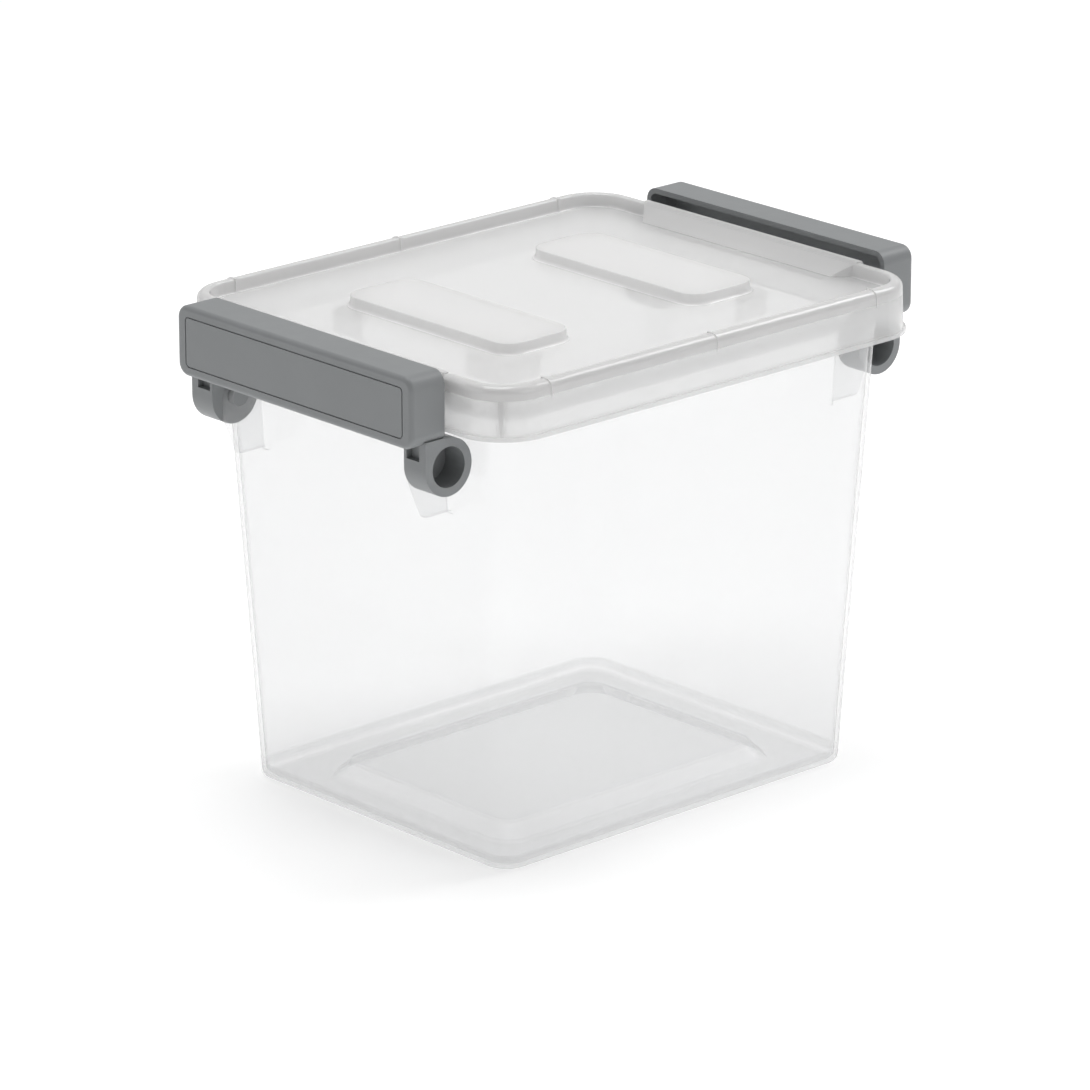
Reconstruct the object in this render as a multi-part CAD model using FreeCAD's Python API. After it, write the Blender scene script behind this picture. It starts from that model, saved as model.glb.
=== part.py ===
"""Stackable latch bin: tapered tub, lift-off lid and two swinging latch handles.

Millimetres. +Z is up and the base stands on z = 0. X runs from handle to handle,
Y runs along the handles. The origin is the centre of the base.
"""
import FreeCAD, Part
import math
import os

V = FreeCAD.Vector

# --- tub body ---------------------------------------------------------------
BASE_X = 97.5            # half length of the base
BASE_Y = 78.5            # half width of the base
BASE_R = 11.0            # corner radius of the base
DRAFT = 0.052            # outward lean of the walls, per unit of height
CORNER_GROWTH = 0.015    # growth of the corner radius, per unit of height
WALL = 1.8
BOTTOM_FILLET = 3.0
INNER_FILLET = 2.0

# --- raised floor panel, which nests over the pads of a lid below -------------
RECESS_X = 77.0
RECESS_Y = 57.0
RECESS_R = 11.0
RECESS_DEPTH = 6.0
RECESS_SLOPE = 6.0       # how far the recess walls lean in over its depth
RECESS_R_SHARE = 0.5     # share of that lean by which the corner radius shrinks
PANEL_OVERLAP = 1.1      # how far the raised panel's block reaches into the floor around it

# --- lid ----------------------------------------------------------------------
LID_X = 119.0            # half length over the skirt's lip
LID_Y = 99.8
LID_R = 22.5
LID_WALL = 1.3
LIP_Z = 188.5            # underside of the skirt's lip
LIP_H = 1.6
LIP_OUT = 1.0            # how far the lip stands out from the skirt
LIP_DRAFT = 0.15
SKIRT_TOP_INSET = 1.8    # inset of the skirt at the bead's top
BEAD_TOP = 210.2
BEAD_FLOOR = 208.6       # underside of the bead, which rests on the tub's rim
BEAD_FILLET = 3.2
BEAD_INNER_FILLET = 0.9
BEAD_WIDTH = 7.0         # from the lip's edge to the panel's recess
PANEL_TOP = 204.4
PANEL_T = 1.5
PANEL_FOOT_FILLET = 1.2  # between the panel and the bead's inner wall
RECESS_LEAN = 0.3        # lean of the bead's inner wall

# --- stacking pads on the lid ---------------------------------------------------
PAD_TOP = 209.2
PAD_X_IN = 33.0
PAD_X_OUT = 69.5
PAD_Y = 49.8
PAD_R = 8.2
PAD_DRAFT = 0.6
PAD_FOOT_FILLET = 1.8
PAD_EDGE_FILLET = 0.5
PAD_INNER_R = 7.2        # corner radius of the hollow at the pad's top

# --- raised end flanges of the lid, between the corners ----------------------------
FLANGE_FOOT_Y = 56.0     # half length of the ramp at its foot and at its top
FLANGE_TOP_Y = 64.0
FLANGE_FOOT_X = 104.8
FLANGE_TOP_X = 113.6
FLANGE_TOP = 210.9
FLANGE_OUT_X = 115.8
FLANGE_SIDE_X = 117.3
FLANGE_SIDE_Z = 208.6

# --- ribs under the lid -----------------------------------------------------------
PLUG_X = 104.4           # outer face of the plug walls that centre the lid
PLUG_Y = 54.0
PLUG_T = 1.4
PLUG_BOTTOM = 195.6
PLUG_NOTCH_Y = 25.0
PLUG_NOTCH_Z = 197.5
CORNER_RIB_X = 75.5      # corner ribs, which hug the pads of another lid in a stack
CORNER_RIB_Y = 53.0
CORNER_RIB_LEG = 21.0
CORNER_RIB_R = 6.5
CORNER_RIB_T = 1.4
CORNER_RIB_BOTTOM = 194.6
CORNER_RIB_FLARE = 3.2   # each leg widens where it meets the panel

# --- small cross ribs on the bead -----------------------------------------------------
TICK_X = (-90.0, 0.0, 90.0)
TICK_T = 1.0
TICK_PROUD = 0.35
TICK_DROP = 7.0          # how far the ribs reach down from the bead's top

# --- tub rim, hidden under the lid ------------------------------------------------------
SHELF_Z = 196.5
SHELF_T = 1.8
RIM_OUT_INSET = 3.5      # the upright rim sits between the skirt and the bead's inner wall
RIM_IN_INSET = 5.2

# --- pivots, handles and ears ---------------------------------------------------------
PIVOT_X = 119.8
PIVOT_Z = 174.9
PIN_R = 4.05
EAR_HOLE_R = 4.12
HUB_R = 12.0
HUB_BORE_R = 8.4
HUB_BORE_DEPTH = 11.3
HUB_Y_IN = 58.3          # inner end of the hub
PIN_Y_IN = 55.1          # inner end of the pin
PIN_CORE_R = 2.4         # the pin is cored out from the bore's side
PIN_END_T = 1.2

HANDLE_X_IN = 121.8      # mouth of the channel, facing the lid
HANDLE_X_OUT = 139.1
HANDLE_Y = 71.1
HANDLE_BOTTOM = 184.9
HANDLE_TOP = 214.5
HANDLE_T = 2.3
HANDLE_CORNER_R = 5.5
HANDLE_EDGE_R = 2.0
HANDLE_INNER_R = 3.2
ARM_X_OUT = PIVOT_X + HUB_R
POCKET_Y = (59.8, 67.3)
POCKET_Z = 178.6
POCKET_DEPTH = 2.8
GROOVE_Y = 66.0
GROOVE_Z = (188.9, 210.3)
GROOVE_R = 2.2
GROOVE_W = 0.6
GROOVE_DEPTH = 0.5

EAR_Y = (55.2, 57.8)
EAR_X_OUT = 127.0
EAR_SHOULDER_Z = 166.0
EAR_TIP_X = 121.2
EAR_TIP_Z = 152.0
EAR_TIP_CHAMFER = 1.0
EAR_BOTTOM_Z = 150.8
STRIP_Y = (54.2, 58.0)   # base strip that joins the ear to the wall
STRIP_Z = (149.2, SHELF_Z)
STRIP_PROUD = 1.0
EAR_BOSS_R = 6.6
EAR_BOSS_PROUD = 0.5

EPS = 0.5                # overshoot of a cutting shape past the face it cuts
TOL = 0.01               # how near an edge must lie to a plane to count as in it
QUARTER = 90.0           # degrees


def rounded_wire(hx, hy, r, z, cx=0.0):
    """Closed outline of a rounded rectangle centred on (cx, 0), at height z."""
    edges = []
    corners = ((1, 1, 0), (-1, 1, 1), (-1, -1, 2), (1, -1, 3))
    arcs = []
    for sx, sy, quarters in corners:
        centre = V(cx + sx * (hx - r), sy * (hy - r), z)
        pts = []
        for turn in (0, QUARTER / 2, QUARTER):
            a = math.radians(quarters * QUARTER + turn)
            pts.append(centre + V(r * math.cos(a), r * math.sin(a), 0))
        arcs.append(pts)
    for i, pts in enumerate(arcs):
        following = arcs[(i + 1) % len(arcs)]
        edges.append(Part.Arc(pts[0], pts[1], pts[2]).toShape())
        edges.append(Part.LineSegment(pts[2], following[0]).toShape())
    return Part.Wire(edges)


def frustum(low, high, cx=0.0):
    """Solid between two rounded rectangles, each given as (hx, hy, r, z)."""
    return Part.makeLoft([rounded_wire(*low, cx), rounded_wire(*high, cx)], True, True)


def box(x, y, z):
    """Box from three (low, high) pairs."""
    return Part.makeBox(x[1] - x[0], y[1] - y[0], z[1] - z[0], V(x[0], y[0], z[0]))


def y_prism(points, y0, y1):
    """Prism along Y over a polygon of (x, z) points."""
    corners = [V(x, y0, z) for x, z in points]
    face = Part.Face(Part.makePolygon(corners + [corners[0]]))
    return face.extrude(V(0, y1 - y0, 0))


def y_cylinder(r, y0, y1, x=PIVOT_X, z=PIVOT_Z):
    """Cylinder along Y."""
    return Part.makeCylinder(r, y1 - y0, V(x, y0, z), V(0, 1, 0))


def edges_where(shape, test):
    """Edges whose bounding box passes a test."""
    return [edge for edge in shape.Edges if test(edge.BoundBox)]


def flat_at(z):
    """Test for edges that lie in the plane of height z."""
    return lambda b: abs(b.ZMin - z) < TOL and abs(b.ZMax - z) < TOL


def mirrored(shape, normal):
    """Mirror image through the origin."""
    return shape.mirror(V(0, 0, 0), normal)


def four_ways(shape):
    """A shape and its mirror images in all four quarters of the plan."""
    pair = [shape, mirrored(shape, V(0, 1, 0))]
    return pair + [mirrored(s, V(1, 0, 0)) for s in pair]


# --- tub ------------------------------------------------------------------------------

def tub_section(z, inset=0.0):
    """Rounded rectangle of the tub's outside at height z, moved in by inset."""
    grow = DRAFT * z
    radius = BASE_R + CORNER_GROWTH * z - inset
    return BASE_X + grow - inset, BASE_Y + grow - inset, radius, z


def lid_section(z, inset):
    """Rounded rectangle of the lid's plan at height z, moved in by inset."""
    return LID_X - inset, LID_Y - inset, LID_R - inset, z


def recess_section(z, outset=0.0):
    """Rounded rectangle of the recess under the floor at height z above its mouth."""
    lean = RECESS_SLOPE * z / RECESS_DEPTH
    radius = RECESS_R - RECESS_R_SHARE * lean + outset
    return RECESS_X - lean + outset, RECESS_Y - lean + outset, radius


def tub_shell():
    """Tapered walls and floor."""
    outside = frustum(tub_section(0.0), tub_section(SHELF_Z + SHELF_T))
    outside = outside.makeFillet(BOTTOM_FILLET, edges_where(outside, flat_at(0.0)))
    inside = frustum(tub_section(WALL, WALL), tub_section(SHELF_Z + SHELF_T + EPS, WALL))
    inside = inside.makeFillet(INNER_FILLET, edges_where(inside, flat_at(WALL)))
    return outside.cut(inside)


def raised_floor():
    """Central floor panel, lifted so that the recess below it clears the pads of a lid."""
    low = recess_section(0.0, PANEL_OVERLAP)
    high = recess_section(RECESS_DEPTH, PANEL_OVERLAP)
    solid = frustum((*low, 0.0), (*high, RECESS_DEPTH))
    cap = frustum((*high, RECESS_DEPTH), (*recess_section(RECESS_DEPTH, 0.0), RECESS_DEPTH + WALL))
    return solid.fuse(cap)


def floor_recess():
    """Recess under the raised floor panel."""
    below = recess_section(-EPS)
    above = recess_section(RECESS_DEPTH)
    return frustum((*below, -EPS), (*above, RECESS_DEPTH))


def tub_rim():
    """Outward shelf and upright rim, under the lid's bead."""
    top = SHELF_Z + SHELF_T
    shelf = frustum(lid_section(SHELF_Z, RIM_OUT_INSET), lid_section(top, RIM_OUT_INSET))
    hole = frustum(tub_section(SHELF_Z - EPS, WALL), tub_section(top + EPS, WALL))
    upright = frustum(lid_section(SHELF_Z, RIM_OUT_INSET), lid_section(BEAD_FLOOR, RIM_OUT_INSET))
    inner = frustum(lid_section(SHELF_Z - EPS, RIM_IN_INSET), lid_section(BEAD_FLOOR + EPS, RIM_IN_INSET))
    return shelf.cut(hole).fuse(upright.cut(inner))


def ear():
    """Pivot ear at +X, +Y: a plate with a hole for the handle's pin."""
    wall_x = BASE_X + DRAFT * EAR_BOTTOM_Z - WALL / 2
    tip_in = (wall_x, EAR_BOTTOM_Z)
    shoulder = (EAR_X_OUT, EAR_SHOULDER_Z)
    level = (EAR_X_OUT, PIVOT_Z)
    inner = (wall_x, PIVOT_Z + EAR_X_OUT - PIVOT_X)
    above = (PIVOT_X, PIVOT_Z + EAR_X_OUT - PIVOT_X)
    tip_foot = (EAR_TIP_X - EAR_TIP_CHAMFER, EAR_BOTTOM_Z)
    outline = [tip_in, tip_foot, (EAR_TIP_X, EAR_TIP_Z), shoulder, level]
    plate = y_prism(outline + [(PIVOT_X, PIVOT_Z), above, inner], *EAR_Y)
    plate = plate.fuse(y_cylinder(EAR_X_OUT - PIVOT_X, *EAR_Y))
    boss = y_cylinder(EAR_BOSS_R, EAR_Y[0] - EAR_BOSS_PROUD, EAR_Y[0])
    hole = y_cylinder(EAR_HOLE_R, EAR_Y[0] - EAR_BOSS_PROUD - EPS, EAR_Y[1] + EPS)
    return plate.fuse(boss).cut(hole)


def ear_strip():
    """Base strip that joins an ear to the wall, following the wall's lean."""
    faces = []
    for z in STRIP_Z:
        x = BASE_X + DRAFT * z
        faces.append((x - WALL / 2, z))
        faces.append((x + STRIP_PROUD, z))
    outline = [faces[0], faces[1], faces[3], faces[2]]
    return y_prism(outline, *STRIP_Y)


def make_tub():
    tub = tub_shell().fuse(raised_floor()).cut(floor_recess())
    tub = tub.fuse(tub_rim())
    for piece in four_ways(ear_strip().fuse(ear())):
        tub = tub.fuse(piece)
    return tub.removeSplitter()


# --- lid ------------------------------------------------------------------------------

def skirt_inset(z):
    """Inset of the skirt's outside at height z."""
    return LIP_OUT + (SKIRT_TOP_INSET - LIP_OUT) * (z - LIP_Z) / (BEAD_TOP - LIP_Z)


def lid_outside():
    """Skirt, lip and bead as one full block."""
    skirt = frustum(lid_section(LIP_Z, LIP_OUT), lid_section(BEAD_TOP, SKIRT_TOP_INSET))
    skirt = skirt.makeFillet(BEAD_FILLET, edges_where(skirt, flat_at(BEAD_TOP)))
    lip = frustum(lid_section(LIP_Z, 0.0), lid_section(LIP_Z + LIP_H, LIP_DRAFT))
    return skirt.fuse(lip)


def lid_inside():
    """Hollow under the panel and inside the bead."""
    low_inset = LIP_OUT + LID_WALL
    high_inset = SKIRT_TOP_INSET + LID_WALL
    full = frustum(lid_section(LIP_Z - EPS, low_inset), lid_section(BEAD_FLOOR, high_inset))
    core_inset = BEAD_WIDTH - LID_WALL
    core = frustum(lid_section(PANEL_TOP - PANEL_T, core_inset), lid_section(BEAD_TOP, core_inset))
    return full.cut(core)


def panel_recess():
    """Recess inside the bead, down to the panel."""
    rise = BEAD_TOP - PANEL_TOP
    over = RECESS_LEAN * EPS / rise
    foot = lid_section(PANEL_TOP, BEAD_WIDTH + RECESS_LEAN)
    recess = frustum(foot, lid_section(BEAD_TOP + EPS, BEAD_WIDTH - over))
    return recess.makeFillet(PANEL_FOOT_FILLET, edges_where(recess, flat_at(PANEL_TOP)))


def bead_tray():
    """Full block with the recess cut into its top."""
    tray = lid_outside().cut(panel_recess())
    reach = LID_Y - BEAD_WIDTH + RECESS_LEAN
    rim = [edge for edge in edges_where(tray, flat_at(BEAD_TOP)) if edge.BoundBox.YMax < reach]
    return tray.makeFillet(BEAD_INNER_FILLET, rim)


def flange_plan(inset, z0, z1):
    """Block over the end flange's plan, which widens from the ramp's foot to its top."""
    foot_y = FLANGE_FOOT_Y - inset
    top_y = FLANGE_TOP_Y - inset
    half = [(FLANGE_FOOT_X, foot_y), (FLANGE_TOP_X, top_y), (LID_X, top_y)]
    plan = half + [(x, -y) for x, y in reversed(half)]
    corners = [V(x, y, z0) for x, y in plan]
    return Part.Face(Part.makePolygon(corners + [corners[0]])).extrude(V(0, 0, z1 - z0))


def end_flange():
    """Raised flange at +X, where the panel climbs a ramp to a higher, wider rim, and its hollow."""
    rise = (FLANGE_TOP - PANEL_TOP) / (FLANGE_TOP_X - FLANGE_FOOT_X)
    drop = LID_WALL * math.sqrt(1.0 + rise * rise)
    base = PANEL_TOP - PANEL_T
    shell = [(FLANGE_FOOT_X, PANEL_TOP), (FLANGE_TOP_X, FLANGE_TOP), (FLANGE_OUT_X, FLANGE_TOP),
             (FLANGE_SIDE_X, FLANGE_SIDE_Z), (FLANGE_SIDE_X, base), (FLANGE_FOOT_X, base)]
    under_x = FLANGE_FOOT_X + (base - PANEL_TOP + drop) / rise
    top_x = FLANGE_FOOT_X + (BEAD_FLOOR - PANEL_TOP + drop) / rise
    skirt_x = LID_X - SKIRT_TOP_INSET - LID_WALL
    hollow = [(under_x, base - EPS), (under_x, base), (top_x, BEAD_FLOOR), (skirt_x, BEAD_FLOOR),
              (skirt_x, base - EPS)]
    solid = y_prism(shell, -FLANGE_TOP_Y, FLANGE_TOP_Y).common(flange_plan(0.0, base, FLANGE_TOP))
    room = flange_plan(LID_WALL, base - EPS, FLANGE_TOP)
    return solid, y_prism(hollow, -FLANGE_TOP_Y, FLANGE_TOP_Y).common(room)


def pad():
    """Stacking pad at +X: a raised block and the hollow under it."""
    centre = (PAD_X_IN + PAD_X_OUT) / 2
    half = (PAD_X_OUT - PAD_X_IN) / 2
    foot = (half + PAD_DRAFT, PAD_Y + PAD_DRAFT, PAD_R + PAD_DRAFT, PANEL_TOP - PANEL_T / 2)
    block = frustum(foot, (half, PAD_Y, PAD_R, PAD_TOP), centre)
    block = block.makeFillet(PAD_EDGE_FILLET, edges_where(block, flat_at(PAD_TOP)))
    low_half = half + PAD_DRAFT - LID_WALL
    low = (low_half, PAD_Y + PAD_DRAFT - LID_WALL, PAD_R, PANEL_TOP - PANEL_T - EPS)
    high = (half - LID_WALL, PAD_Y - LID_WALL, PAD_INNER_R, PAD_TOP - PANEL_T)
    return block, frustum(low, high, centre)


def at_pad_foot(bounds):
    """True for an edge where a pad meets the panel."""
    level = flat_at(PANEL_TOP)(bounds)
    across = PAD_X_IN - PAD_FOOT_FILLET < abs(bounds.Center.x) < PAD_X_OUT + PAD_FOOT_FILLET
    return level and across and abs(bounds.Center.y) < PAD_Y + PAD_FOOT_FILLET


def plug_wall():
    """Wall under the lid at +X that centres it in the tub, shallower in the middle."""
    top = PANEL_TOP - PANEL_T / 2
    wall = box((PLUG_X - PLUG_T, PLUG_X), (-PLUG_Y, PLUG_Y), (PLUG_BOTTOM, top))
    notch = box((PLUG_X - PLUG_T - EPS, PLUG_X + EPS), (-PLUG_NOTCH_Y, PLUG_NOTCH_Y),
                (PLUG_BOTTOM - EPS, PLUG_NOTCH_Z))
    return wall.cut(notch)


def rib_leg(top):
    """Leg of a corner rib that runs to -X from the rib's corner, with its flared end."""
    leg = box((-CORNER_RIB_LEG, -CORNER_RIB_R), (-CORNER_RIB_T, 0.0), (CORNER_RIB_BOTTOM, top))
    root = V(-CORNER_RIB_LEG, 0, top)
    tip = root + V(-CORNER_RIB_FLARE, 0, 0)
    foot = root + V(0, 0, -CORNER_RIB_FLARE)
    bow = CORNER_RIB_FLARE * (1.0 - math.sqrt(0.5))
    arc = Part.Arc(tip, root + V(-bow, 0, -bow), foot).toShape()
    outline = Part.Wire([Part.LineSegment(root, tip).toShape(), arc, Part.LineSegment(foot, root).toShape()])
    return leg.fuse(Part.Face(outline).extrude(V(0, -CORNER_RIB_T, 0)))


def corner_rib():
    """L-shaped rib under the lid at +X, +Y, round at its corner."""
    top = PANEL_TOP - PANEL_T / 2
    leg = rib_leg(top)
    height = top - CORNER_RIB_BOTTOM
    centre = V(-CORNER_RIB_R, -CORNER_RIB_R, CORNER_RIB_BOTTOM)
    outer = Part.makeCylinder(CORNER_RIB_R, height, centre, V(0, 0, 1), QUARTER)
    inner = Part.makeCylinder(CORNER_RIB_R - CORNER_RIB_T, height, centre, V(0, 0, 1), QUARTER)
    rib = leg.fuse(outer.cut(inner)).fuse(mirrored(leg, V(1, -1, 0)))
    rib.translate(V(CORNER_RIB_X, CORNER_RIB_Y, 0))
    return rib


def ticks():
    """Small ribs across the bead on both long sides, clear of the hollow under it."""
    low_z = BEAD_TOP - TICK_DROP
    top_z = BEAD_TOP + TICK_PROUD
    low = lid_section(low_z, skirt_inset(low_z) - TICK_PROUD)
    fat = frustum(low, lid_section(top_z, SKIRT_TOP_INSET - TICK_PROUD))
    fat = fat.makeFillet(BEAD_FILLET, edges_where(fat, flat_at(top_z)))
    core_inset = BEAD_WIDTH + RECESS_LEAN + TICK_PROUD
    core = frustum(lid_section(low_z - EPS, core_inset), lid_section(top_z + EPS, core_inset))
    ring = fat.cut(core).cut(lid_inside())
    half = TICK_T / 2
    slabs = [box((x - half, x + half), (-LID_Y, LID_Y), (low_z, top_z + EPS)) for x in TICK_X]
    return ring.common(Part.Compound(slabs))


def both_ends(shape):
    """A shape at +X and its mirror image at -X."""
    return shape, mirrored(shape, V(1, 0, 0))


def make_lid():
    lid = bead_tray()
    block, void = pad()
    for side in both_ends(block):
        lid = lid.fuse(side)
    lid = lid.removeSplitter()
    lid = lid.makeFillet(PAD_FOOT_FILLET, edges_where(lid, at_pad_foot))
    shell, hollow = end_flange()
    for side in both_ends(shell):
        lid = lid.fuse(side)
    for side in (lid_inside(), *both_ends(hollow), *both_ends(void)):
        lid = lid.cut(side)
    lid = lid.fuse(ticks())
    for side in (*both_ends(plug_wall()), *four_ways(corner_rib())):
        lid = lid.fuse(side)
    return lid.removeSplitter()


# --- handle ----------------------------------------------------------------------------

def x_outline(hy, z0, z1, r, x):
    """Rounded rectangle in the plane of constant x."""
    wire = rounded_wire((z1 - z0) / 2, hy, r, 0)
    wire.rotate(V(0, 0, 0), V(0, 1, 0), QUARTER)
    wire.translate(V(x, 0, (z0 + z1) / 2))
    return wire


def x_block(hy, z0, z1, r, x0, x1):
    """Prism along X over a rounded rectangle."""
    return Part.Face(x_outline(hy, z0, z1, r, x0)).extrude(V(x1 - x0, 0, 0))


def channel():
    """Hollow grip, open towards the lid."""
    body = x_block(HANDLE_Y, HANDLE_BOTTOM, HANDLE_TOP, HANDLE_CORNER_R, HANDLE_X_IN, HANDLE_X_OUT)
    front = edges_where(body, lambda b: abs(b.XMin - HANDLE_X_OUT) < TOL)
    body = body.makeFillet(HANDLE_EDGE_R, front)
    hollow = x_block(HANDLE_Y - HANDLE_T, HANDLE_BOTTOM + HANDLE_T, HANDLE_TOP - HANDLE_T, HANDLE_INNER_R,
                     HANDLE_X_IN - EPS, HANDLE_X_OUT - HANDLE_T)
    return body.cut(hollow).cut(front_groove())


def front_groove():
    """Thin groove that frames the front panel."""
    x0 = HANDLE_X_OUT - GROOVE_DEPTH
    outer = x_block(GROOVE_Y, GROOVE_Z[0], GROOVE_Z[1], GROOVE_R, x0, HANDLE_X_OUT + EPS)
    inner = x_block(GROOVE_Y - GROOVE_W, GROOVE_Z[0] + GROOVE_W, GROOVE_Z[1] - GROOVE_W,
                    GROOVE_R - GROOVE_W, x0 - EPS, HANDLE_X_OUT + 2 * EPS)
    return outer.cut(inner)


def hub():
    """Arm, hub and pivot pin at the +Y end of a handle."""
    barrel = y_cylinder(HUB_R, HUB_Y_IN, HANDLE_Y)
    arm = box((HANDLE_X_IN, ARM_X_OUT), (HUB_Y_IN, HANDLE_Y), (PIVOT_Z, HANDLE_BOTTOM + HANDLE_T))
    pin = y_cylinder(PIN_R, PIN_Y_IN, HUB_Y_IN + EPS)
    bore = y_cylinder(HUB_BORE_R, HANDLE_Y - HUB_BORE_DEPTH, HANDLE_Y + EPS)
    core = y_cylinder(PIN_CORE_R, PIN_Y_IN + PIN_END_T, HANDLE_Y)
    pocket = box((ARM_X_OUT - POCKET_DEPTH, ARM_X_OUT + EPS), POCKET_Y, (POCKET_Z, HANDLE_BOTTOM))
    return barrel.fuse(arm).cut(bore).cut(pocket).fuse(pin).cut(core)


def make_handle():
    """Handle at the +X end."""
    side = hub()
    handle = channel().fuse(side).fuse(mirrored(side, V(0, 1, 0)))
    return handle.removeSplitter()


def main():
    os.makedirs("parts", exist_ok=True)
    right = make_handle()
    left = right.copy()
    left.rotate(V(0, 0, 0), V(0, 0, 1), 2 * QUARTER)
    nodes = {"tub": make_tub(), "lid": make_lid(), "handle_right": right, "handle_left": left}
    for name, shape in nodes.items():
        print(name, shape.ShapeType, len(shape.Solids), shape.isValid(), round(shape.Volume))
        shape.Solids[0].exportStep("parts/" + name + ".step")


main()
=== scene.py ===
"""Looks for a stackable latch bin: a clear tub, a milky lid and two grey latch handles.

Metres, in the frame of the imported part: +Z up, X from handle to handle, origin at the centre of the base.
"""
import math

import bpy
from mathutils import Matrix, Vector

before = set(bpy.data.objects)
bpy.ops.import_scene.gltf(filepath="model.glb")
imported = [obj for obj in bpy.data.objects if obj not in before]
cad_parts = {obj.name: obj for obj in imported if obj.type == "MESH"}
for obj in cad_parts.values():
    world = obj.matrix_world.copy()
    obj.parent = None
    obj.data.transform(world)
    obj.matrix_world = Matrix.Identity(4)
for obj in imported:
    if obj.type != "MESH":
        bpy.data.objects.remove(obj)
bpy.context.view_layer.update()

# --- camera -------------------------------------------------------------------------------
CAMERA_AZIMUTH = math.radians(42.71)      # from -Y towards -X
CAMERA_ELEVATION = math.radians(20.69)
CAMERA_DISTANCE = 2.641                   # from the centre of the base
CAMERA_LENS = 208.06                      # millimetres, on a 36 mm sensor
CAMERA_SENSOR = 36.0
CAMERA_TILT = math.radians(2.009)         # the camera looks above the base
CAMERA_PAN = math.radians(0.053)

# --- stage --------------------------------------------------------------------------------
FLOOR_HALF = 6.0
FLOOR_DROP = 0.0002                       # keeps the floor and the base from sharing a plane
FLOOR_COLOUR = (0.93, 0.93, 0.93, 1.0)
FLOOR_GLOW = 0.31
SKY_BRIGHT_SIDE = (0.66, 0.66, 0.36)      # direction of the bright white backdrop
SKY_STRENGTH = (0.18, 0.7)                # away from the backdrop, and at it
SKY_TURN = -0.2                           # how far round the brightening starts, as a cosine

# name, place, aim, width, height, watts
SOFTBOXES = (
    ("light_top", (-0.1, 0.2, 2.2), (0.0, 0.0, 0.1), 1.3, 1.1, 16.5),
    ("light_left", (-2.4, 0.6, 1.2), (0.0, 0.0, 0.15), 1.2, 1.2, 4.2),
    ("light_front", (0.6, -2.4, 1.1), (0.0, 0.0, 0.1), 1.2, 1.2, 9.5),
    ("light_back", (-0.6, 2.2, 1.7), (0.0, 0.0, 0.1), 1.4, 0.7, 4.0),
    ("light_far", (1.9, -0.4, 1.9), (0.0, 0.0, 0.15), 1.0, 0.9, 15.0),
)

# --- plastics ---------------------------------------------------------------------------
EDGE_POWER = 4.0          # how quickly a see-through wall turns cloudy towards its edges
MIRROR_POWER = 5.0
CLOUD_NOISE = (14.0, 2.0)  # scale and detail of each noise
SHINE_NOISE = (60.0, 3.0)
GRAIN_NOISE = (700.0, 2.0)
GRAIN_BUMP = (0.00003, 0.3)           # height and strength
HANDLE_SHADES = ((0.235, 0.245, 0.25, 1.0), (0.26, 0.27, 0.277, 1.0))
HANDLE_SHADE_NOISE = (25.0, 3.0)
HANDLE_ROUGHNESS = (0.38, 0.5)
HANDLE_ROUGHNESS_NOISE = (120.0, 3.0)
HANDLE_GRAIN_NOISE = (2200.0, 2.0)
HANDLE_GRAIN_BUMP = (0.00004, 0.5)
PLASTIC_IOR = 1.49
HALF = 0.5
SEE_THROUGH_LAYERS = 32   # wall faces that one line of sight may pass


def node(tree, kind, **values):
    """New shader node with its sockets set by name."""
    made = tree.nodes.new(kind)
    for name, value in values.items():
        made.inputs[name.replace("_", " ")].default_value = value
    return made


def material(name):
    """Empty node material and its output."""
    made = bpy.data.materials.new(name)
    made.use_nodes = True
    made.node_tree.nodes.clear()
    out = made.node_tree.nodes.new("ShaderNodeOutputMaterial")
    return made, made.node_tree, out


def noise(tree, scale, detail):
    """Noise in the piece's own coordinates."""
    place = tree.nodes.new("ShaderNodeTexCoord")
    made = node(tree, "ShaderNodeTexNoise", Scale=scale, Detail=detail)
    tree.links.new(place.outputs["Object"], made.inputs["Vector"])
    return made.outputs["Fac"]


def ramp(tree, source, low, high):
    """Values from 0 to 1 mapped to low to high."""
    made = node(tree, "ShaderNodeMapRange", To_Min=low, To_Max=high)
    tree.links.new(source, made.inputs["Value"])
    return made.outputs["Result"]


def colours(tree, source, low, high):
    """Values from 0 to 1 mapped to two colours."""
    made = tree.nodes.new("ShaderNodeValToRGB")
    made.color_ramp.elements[0].color = low
    made.color_ramp.elements[1].color = high
    tree.links.new(source, made.inputs["Fac"])
    return made.outputs["Color"]


def bump(tree, source, distance, strength):
    """Bump from a height."""
    made = node(tree, "ShaderNodeBump", Strength=strength, Distance=distance)
    tree.links.new(source, made.inputs["Height"])
    return made.outputs["Normal"]


def away(tree, power):
    """0 where the surface faces the viewer and 1 where it is seen edge on, raised to a power."""
    weight = node(tree, "ShaderNodeLayerWeight", Blend=HALF)
    made = tree.nodes.new("ShaderNodeMath")
    made.operation = "POWER"
    made.inputs[1].default_value = power
    tree.links.new(weight.outputs["Facing"], made.inputs[0])
    return made.outputs["Value"]


def mixed(tree, share, first, second):
    """Two shaders mixed by a share of the second."""
    made = tree.nodes.new("ShaderNodeMixShader")
    if isinstance(share, float):
        made.inputs["Fac"].default_value = share
    else:
        tree.links.new(share, made.inputs["Fac"])
    tree.links.new(first, made.inputs[1])
    tree.links.new(second, made.inputs[2])
    return made.outputs["Shader"]


def maths(tree, operation, first, second):
    """One sum on a value and a second value or constant."""
    made = tree.nodes.new("ShaderNodeMath")
    made.operation = operation
    for socket, value in zip(made.inputs, (first, second)):
        if isinstance(value, float):
            socket.default_value = value
        else:
            tree.links.new(value, socket)
    return made.outputs["Value"]


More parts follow.
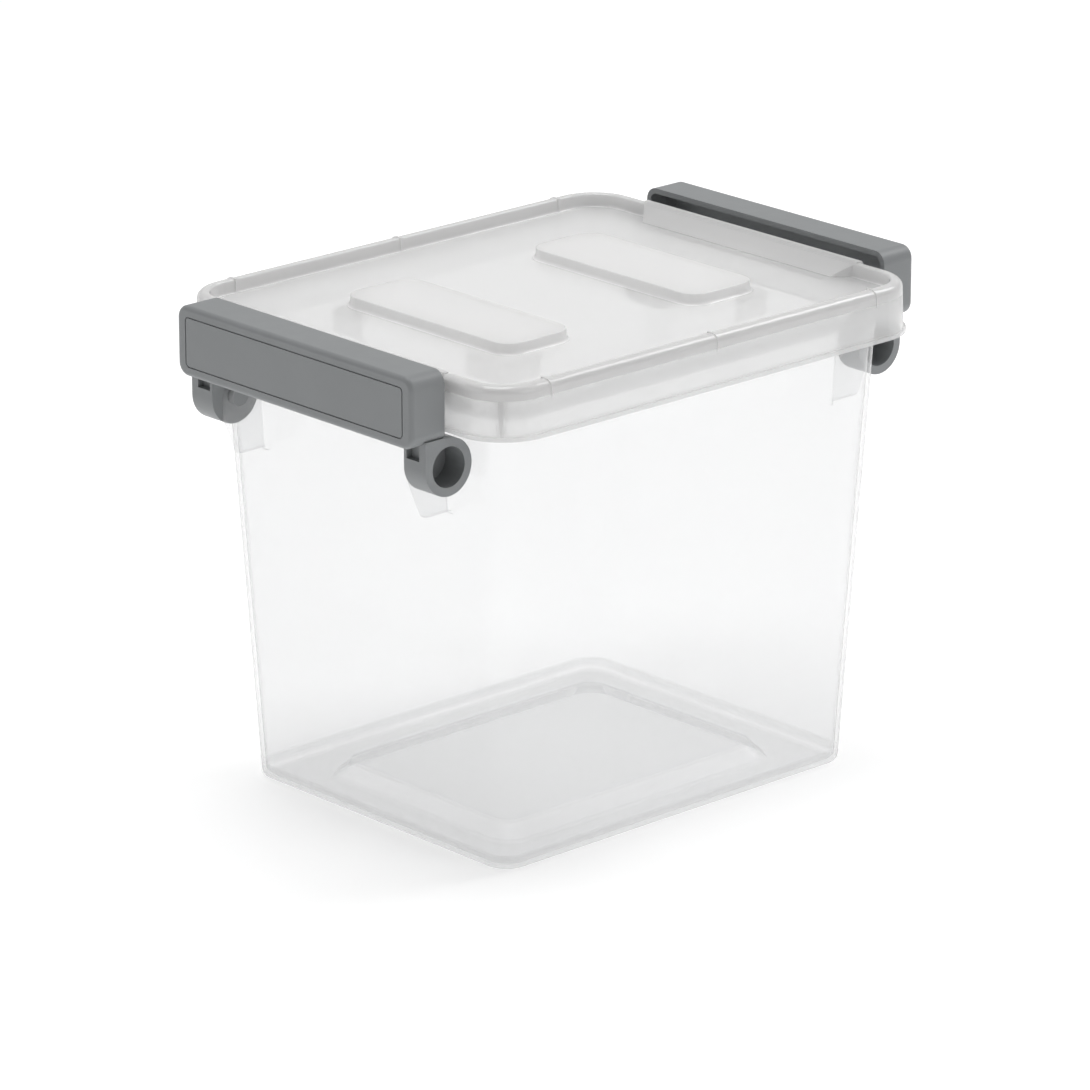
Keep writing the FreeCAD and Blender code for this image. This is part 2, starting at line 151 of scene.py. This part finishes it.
def haze_and_shade_parts(tree, centre, reach, half_length, half_width):
    """Share of painted shade and extra haze: 1 on the upright faces of inner ribs, half that on lips and
    pads, and 0 on the plain outer band.

    The band lies within reach of a height. Ribs lie level with it, inside a rectangle of the plan.
    """
    place = tree.nodes.new("ShaderNodeTexCoord")
    facing = tree.nodes.new("ShaderNodeSeparateXYZ")
    where = tree.nodes.new("ShaderNodeSeparateXYZ")
    tree.links.new(place.outputs["Normal"], facing.inputs["Vector"])
    tree.links.new(place.outputs["Object"], where.inputs["Vector"])
    upright = maths(tree, "SUBTRACT", 1.0, maths(tree, "ABSOLUTE", facing.outputs["Z"], 0.0))
    apart = maths(tree, "ABSOLUTE", maths(tree, "SUBTRACT", where.outputs["Z"], centre), 0.0)
    level = maths(tree, "GREATER_THAN", apart, reach)
    along = maths(tree, "LESS_THAN", maths(tree, "ABSOLUTE", where.outputs["X"], 0.0), half_length)
    across = maths(tree, "LESS_THAN", maths(tree, "ABSOLUTE", where.outputs["Y"], 0.0), half_width)
    inside = maths(tree, "MULTIPLY", along, across)
    ribs = maths(tree, "MULTIPLY", inside, maths(tree, "SUBTRACT", 1.0, level))
    share = maths(tree, "MAXIMUM", ribs, maths(tree, "MULTIPLY", level, HALF))
    return maths(tree, "MULTIPLY", upright, share)


def raised_parts(tree, height):
    """1 above a height and 0 below it."""
    place = tree.nodes.new("ShaderNodeTexCoord")
    where = tree.nodes.new("ShaderNodeSeparateXYZ")
    tree.links.new(place.outputs["Object"], where.inputs["Vector"])
    return maths(tree, "GREATER_THAN", where.outputs["Z"], height)


def clear_plastic(name, haze, tint, cloud, roughness, mirror, band, haze_and_painted_shade, raised):
    """Thin moulded plastic: see-through with a cloudy body under a glossy skin.

    haze and mirror are shares of the light, each head on and edge on. Upright faces outside the plain
    band are cloudier by the first value of the haze and shade pair and darkened to its second, a
    painted shade for steep walls. Parts above the first value of raised are cloudier by the second.
    """
    made, tree, out = material(name)
    more_haze, painted_shade_level = haze_and_painted_shade
    haze_and_shade_share = haze_and_shade_parts(tree, *band)
    shade = tree.nodes.new("ShaderNodeVectorMath")
    shade.operation = "SCALE"
    tree.links.new(colours(tree, noise(tree, *CLOUD_NOISE), *cloud), shade.inputs[0])
    # painted shade: the cloud colour is darkened on upright faces of ribs, pads, lips and the tub's base
    # and rim
    tree.links.new(ramp(tree, haze_and_shade_share, 1.0, painted_shade_level), shade.inputs["Scale"])
    front = tree.nodes.new("ShaderNodeBsdfDiffuse")
    back = tree.nodes.new("ShaderNodeBsdfTranslucent")
    tree.links.new(shade.outputs["Vector"], front.inputs["Color"])
    tree.links.new(shade.outputs["Vector"], back.inputs["Color"])
    body = mixed(tree, HALF, front.outputs["BSDF"], back.outputs["BSDF"])
    through = node(tree, "ShaderNodeBsdfTransparent", Color=tint)
    height, top_haze = raised
    at_top = ramp(tree, raised_parts(tree, height), 0.0, top_haze)
    extra = maths(tree, "ADD", ramp(tree, haze_and_shade_share, 0.0, more_haze), at_top)
    dense = maths(tree, "ADD", ramp(tree, away(tree, EDGE_POWER), *haze), extra)
    wall = mixed(tree, dense, through.outputs["BSDF"], body)
    shine = tree.nodes.new("ShaderNodeBsdfGlossy")
    tree.links.new(ramp(tree, noise(tree, *SHINE_NOISE), *roughness), shine.inputs["Roughness"])
    tree.links.new(bump(tree, noise(tree, *GRAIN_NOISE), *GRAIN_BUMP), shine.inputs["Normal"])
    share = ramp(tree, away(tree, MIRROR_POWER), *mirror)
    tree.links.new(mixed(tree, share, wall, shine.outputs["BSDF"]), out.inputs["Surface"])
    return made


def handle_plastic():
    """Satin grey moulding with a fine spark-eroded grain."""
    made, tree, out = material("handle_plastic")
    skin = node(tree, "ShaderNodeBsdfPrincipled", IOR=PLASTIC_IOR)
    shade = colours(tree, noise(tree, *HANDLE_SHADE_NOISE), *HANDLE_SHADES)
    tree.links.new(shade, skin.inputs["Base Color"])
    matt = ramp(tree, noise(tree, *HANDLE_ROUGHNESS_NOISE), *HANDLE_ROUGHNESS)
    tree.links.new(matt, skin.inputs["Roughness"])
    tree.links.new(bump(tree, noise(tree, *HANDLE_GRAIN_NOISE), *HANDLE_GRAIN_BUMP), skin.inputs["Normal"])
    tree.links.new(skin.outputs["BSDF"], out.inputs["Surface"])
    return made


def floor_material():
    """White light table: matt, and lit a little from below."""
    made, tree, out = material("white_sweep")
    skin = node(tree, "ShaderNodeBsdfDiffuse", Color=FLOOR_COLOUR)
    glow = node(tree, "ShaderNodeEmission", Strength=FLOOR_GLOW)
    both = tree.nodes.new("ShaderNodeAddShader")
    tree.links.new(skin.outputs["BSDF"], both.inputs[0])
    tree.links.new(glow.outputs["Emission"], both.inputs[1])
    tree.links.new(both.outputs["Shader"], out.inputs["Surface"])
    return made


def dress(name, look):
    """Gives a CAD node its material."""
    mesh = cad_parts[name].data
    mesh.materials.clear()
    mesh.materials.append(look)


def make_floor():
    """Plain pale floor under the bin."""
    mesh = bpy.data.meshes.new("floor")
    quarters = ((-1, -1), (1, -1), (1, 1), (-1, 1))
    corners = [(x * FLOOR_HALF, y * FLOOR_HALF, -FLOOR_DROP) for x, y in quarters]
    mesh.from_pydata(corners, [], [(0, 1, 2, 3)])
    mesh.materials.append(floor_material())
    floor = bpy.data.objects.new("floor", mesh)
    bpy.context.collection.objects.link(floor)


def make_sky():
    """White surroundings, brighter on the far side."""
    world = bpy.data.worlds.new("sky")
    world.use_nodes = True
    tree = world.node_tree
    place = tree.nodes.new("ShaderNodeTexCoord")
    toward = tree.nodes.new("ShaderNodeVectorMath")
    toward.operation = "DOT_PRODUCT"
    toward.inputs[1].default_value = SKY_BRIGHT_SIDE
    tree.links.new(place.outputs["Generated"], toward.inputs[0])
    strength = node(tree, "ShaderNodeMapRange", From_Min=SKY_TURN,
                    To_Min=SKY_STRENGTH[0], To_Max=SKY_STRENGTH[1])
    tree.links.new(toward.outputs["Value"], strength.inputs["Value"])
    tree.links.new(strength.outputs["Result"], tree.nodes["Background"].inputs["Strength"])
    tree.nodes["Background"].inputs["Color"].default_value = (1.0, 1.0, 1.0, 1.0)
    bpy.context.scene.world = world


def make_softbox(name, place, aim, width, height, watts):
    """Area light that faces a point."""
    lamp = bpy.data.lights.new(name, "AREA")
    lamp.shape = "RECTANGLE"
    lamp.size = width
    lamp.size_y = height
    lamp.energy = watts
    light = bpy.data.objects.new(name, lamp)
    light.location = place
    light.rotation_euler = (Vector(aim) - Vector(place)).to_track_quat("-Z", "Y").to_euler()
    bpy.context.collection.objects.link(light)


def make_camera():
    """Camera on the near corner, a little above the lid."""
    lens = bpy.data.cameras.new("camera")
    lens.lens = CAMERA_LENS
    lens.sensor_width = CAMERA_SENSOR
    camera = bpy.data.objects.new("camera", lens)
    bpy.context.collection.objects.link(camera)
    sin_a, cos_a = math.sin(CAMERA_AZIMUTH), math.cos(CAMERA_AZIMUTH)
    sin_e, cos_e = math.sin(CAMERA_ELEVATION), math.cos(CAMERA_ELEVATION)
    to_base = Vector((cos_e * sin_a, cos_e * cos_a, -sin_e))
    right = Vector((cos_a, -sin_a, 0.0))
    up = right.cross(to_base)
    look = Matrix((right, up, -to_base)).transposed()
    turn = Matrix.Rotation(CAMERA_TILT, 3, "X") @ Matrix.Rotation(CAMERA_PAN, 3, "Y")
    camera.matrix_world = Matrix.Translation(to_base * -CAMERA_DISTANCE) @ (look @ turn).to_4x4()
    bpy.context.scene.camera = camera


# Both looks carry painted shade on upright faces outside the plain band: the tub's base and rim, the lid's
# ribs, pads and lips.
TUB_LOOK = clear_plastic("tub_plastic", haze=(0.1, 0.7), tint=(0.978, 0.979, 0.98, 1.0),
                         cloud=((0.93, 0.932, 0.935, 1.0), (0.965, 0.965, 0.968, 1.0)),
                         roughness=(0.1, 0.18),
                         mirror=(0.04, 0.85), band=(0.1, 0.094, 0.0, 0.0), haze_and_painted_shade=(0.3, 0.7),
                         raised=(0.194, 0.0))
LID_LOOK = clear_plastic("lid_plastic", haze=(0.38, 0.78), tint=(0.99, 0.99, 0.99, 1.0),
                         cloud=((0.965, 0.965, 0.965, 1.0), (0.985, 0.98, 0.975, 1.0)),
                         roughness=(0.1, 0.18),
                         mirror=(0.07, 0.85), band=(0.1975, 0.0069, 0.112, 0.093), haze_and_painted_shade=(0.25, 0.8),
                         raised=(0.2046, 0.36))
HANDLE_LOOK = handle_plastic()

dress("tub", TUB_LOOK)
dress("lid", LID_LOOK)
dress("handle_left", HANDLE_LOOK)
dress("handle_right", HANDLE_LOOK)

make_floor()
make_sky()
for softbox in SOFTBOXES:
    make_softbox(*softbox)
make_camera()
bpy.context.scene.view_settings.view_transform = "Standard"
bpy.context.scene.cycles.transparent_max_bounces = SEE_THROUGH_LAYERS
